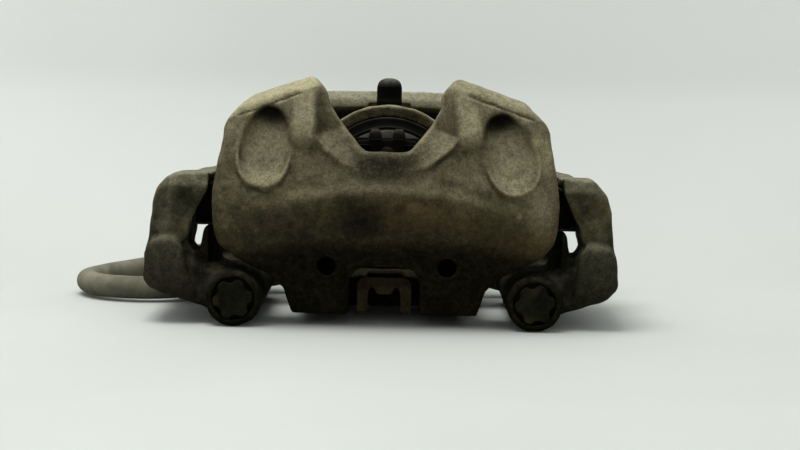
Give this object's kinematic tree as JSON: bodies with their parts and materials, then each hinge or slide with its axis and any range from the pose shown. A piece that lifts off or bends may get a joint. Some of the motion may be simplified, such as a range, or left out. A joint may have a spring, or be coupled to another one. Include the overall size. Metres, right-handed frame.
{
  "type": "brake caliper",
  "caption": "Floating disc brake caliper in its carrier bracket, with pads, sliding guide pins, piston, bleed screw and flexible hose.",
  "frame": {"origin": "on the bridge's flat outer face, in the brake disc's middle plane and the caliper's middle plane", "axes": "+X along the caliper, +Y inboard along the piston axis (towards the car), +Z from the bridge towards the hub"},
  "size_m": [0.2344, 0.159, 0.101],
  "materials": {
    "housing_iron": "dusty, lightly rusted casting",
    "bracket_iron": "dark, dusty casting",
    "steel": "machined",
    "zinc": "dull plated, dirty",
    "rusty_steel": "rusted",
    "pad_plate": "worn black paint",
    "lining": "coarse friction compound",
    "spring_steel": "thin stainless, dirty",
    "rubber": "matt",
    "hose_rubber": "dusty",
    "copper": "dull copper"
  },
  "bodies": {
    "carrier": {"carrier_bracket": "bracket_iron", "guide_bore_plug_left": "bracket_iron", "guide_bore_plug_right": "bracket_iron", "guide_pin_boot_left": "rubber", "guide_pin_boot_right": "rubber", "abutment_clip_inboard_left": "spring_steel", "abutment_clip_inboard_right": "spring_steel", "abutment_clip_outboard_left": "spring_steel", "abutment_clip_outboard_right": "spring_steel"},
    "housing": {"caliper_housing": "housing_iron", "guide_pin_left": "steel", "guide_pin_right": "steel", "guide_pin_bolt_left": "zinc", "guide_pin_bolt_right": "zinc", "piston_seal": "rubber", "piston_dust_boot": "rubber", "bridge_spring": "rusty_steel", "banjo_washer_inner": "copper", "banjo_washer_outer": "copper", "banjo_bolt": "zinc", "banjo_fitting": "zinc", "hose_ferrule_caliper": "zinc", "brake_hose": "hose_rubber", "hose_ferrule_end": "zinc", "hose_end_union": "zinc"},
    "piston": {"piston": "steel"},
    "inboard_pad": {"inboard_backplate": "pad_plate", "inboard_lining": "lining", "inboard_shim": "spring_steel", "inboard_piston_clip": "spring_steel"},
    "outboard_pad": {"outboard_backplate": "pad_plate", "outboard_lining": "lining", "outboard_shim": "spring_steel", "outboard_pad_clip": "spring_steel", "outboard_clip_rivet": "steel"},
    "bleed_screw": {"bleed_screw": "zinc"},
    "bleed_cap": {"bleed_screw_cap": "rubber"}
  },
  "joints": [
    {"name": "housing_slide", "type": "slide", "parent": "carrier", "child": "housing", "axis": [0, 1, 0], "range_m": [0, 0.008], "deforming": ["guide_pin_boot_left", "guide_pin_boot_right"]},
    {"name": "piston_slide", "type": "slide", "parent": "housing", "child": "piston", "axis": [0, -1, 0], "range_m": [0, 0.016], "deforming": ["piston_dust_boot"]},
    {"name": "inboard_pad_slide", "type": "slide", "parent": "carrier", "child": "inboard_pad", "axis": [0, -1, 0], "range_m": [0, 0.008]},
    {"name": "outboard_pad_slide", "type": "slide", "parent": "carrier", "child": "outboard_pad", "axis": [0, 1, 0], "range_m": [0, 0.008]},
    {"name": "bleed_screw_turn", "type": "hinge", "parent": "housing", "child": "bleed_screw", "pos_m": [0, 0.047, 0.08], "axis": [0, 0, 1], "range_deg": [0, 180]},
    {"name": "bleed_cap_lift", "type": "slide", "parent": "bleed_screw", "child": "bleed_cap", "axis": [0, 0, 1], "range_m": [0, 0.014]}
  ],
  "couplings": [
    {"joint": "piston_slide", "follows": "housing_slide", "ratio": 2},
    {"joint": "inboard_pad_slide", "follows": "housing_slide", "ratio": 1},
    {"joint": "outboard_pad_slide", "follows": "housing_slide", "ratio": 1}
  ]
}
